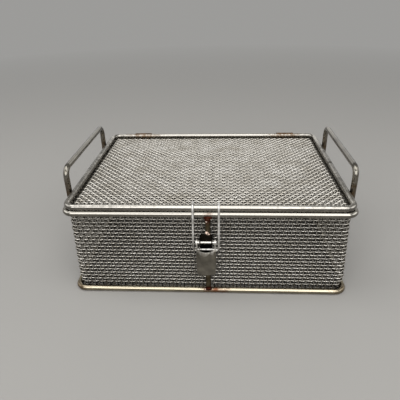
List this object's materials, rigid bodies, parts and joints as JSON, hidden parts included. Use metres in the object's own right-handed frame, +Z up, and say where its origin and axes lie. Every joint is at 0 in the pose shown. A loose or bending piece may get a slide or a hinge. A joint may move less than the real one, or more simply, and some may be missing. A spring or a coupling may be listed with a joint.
{
  "type": "autoclave basket",
  "caption": "Rectangular woven-wire steriliser basket with rod rims, a hinged mesh lid, two fixed side handles and a toggle latch at the front.",
  "frame": {"origin": "on the table, under the middle of the two basket rims", "axes": "+X along the length to the right-hand handle, +Y from the latch to the hinges, +Z up"},
  "size_m": [0.3164, 0.2418, 0.1358],
  "materials": {
    "rod": "drawn stainless rod, bright with straw heat tint",
    "mesh": "plain woven stainless wire, dull",
    "post": "dull rod with rusty welds",
    "hinge": "stainless strap, brown with rust and heat",
    "handle": "drawn stainless rod, brown at the welds",
    "latch": "pressed stainless sheet, dull",
    "latch_wire": "bright stainless spring wire"
  },
  "bodies": {
    "basket": {"top_rim": "rod", "bottom_rim": "rod", "basket_mesh": "mesh", "front_post": "post", "back_post": "post", "left_handle": "handle", "right_handle": "handle", "latch_base": "latch", "latch_pin": "latch_wire"},
    "lid": {"lid_rim": "rod", "lid_mesh": "mesh", "left_hinge": "hinge", "right_hinge": "hinge"},
    "lever": {"latch_lever": "latch"},
    "bail": {"latch_bail": "latch_wire"}
  },
  "joints": [
    {"name": "lid_hinge", "type": "hinge", "parent": "basket", "child": "lid", "pos_m": [0, 0.11132, 0.10032], "axis": [-1, 0, 0], "range_deg": [0, 130]},
    {"name": "latch_pivot", "type": "hinge", "parent": "basket", "child": "lever", "pos_m": [-0.0016, -0.1205, 0.0726], "axis": [-1, 0, 0], "range_deg": [0, 105]},
    {"name": "bail_pivot", "type": "hinge", "parent": "lever", "child": "bail", "pos_m": [-0.0016, -0.1205, 0.064], "axis": [-1, 0, 0], "range_deg": [-88.2, 0]}
  ],
  "couplings": [
    {"joint": "bail_pivot", "follows": "latch_pivot", "ratio": -0.84}
  ]
}
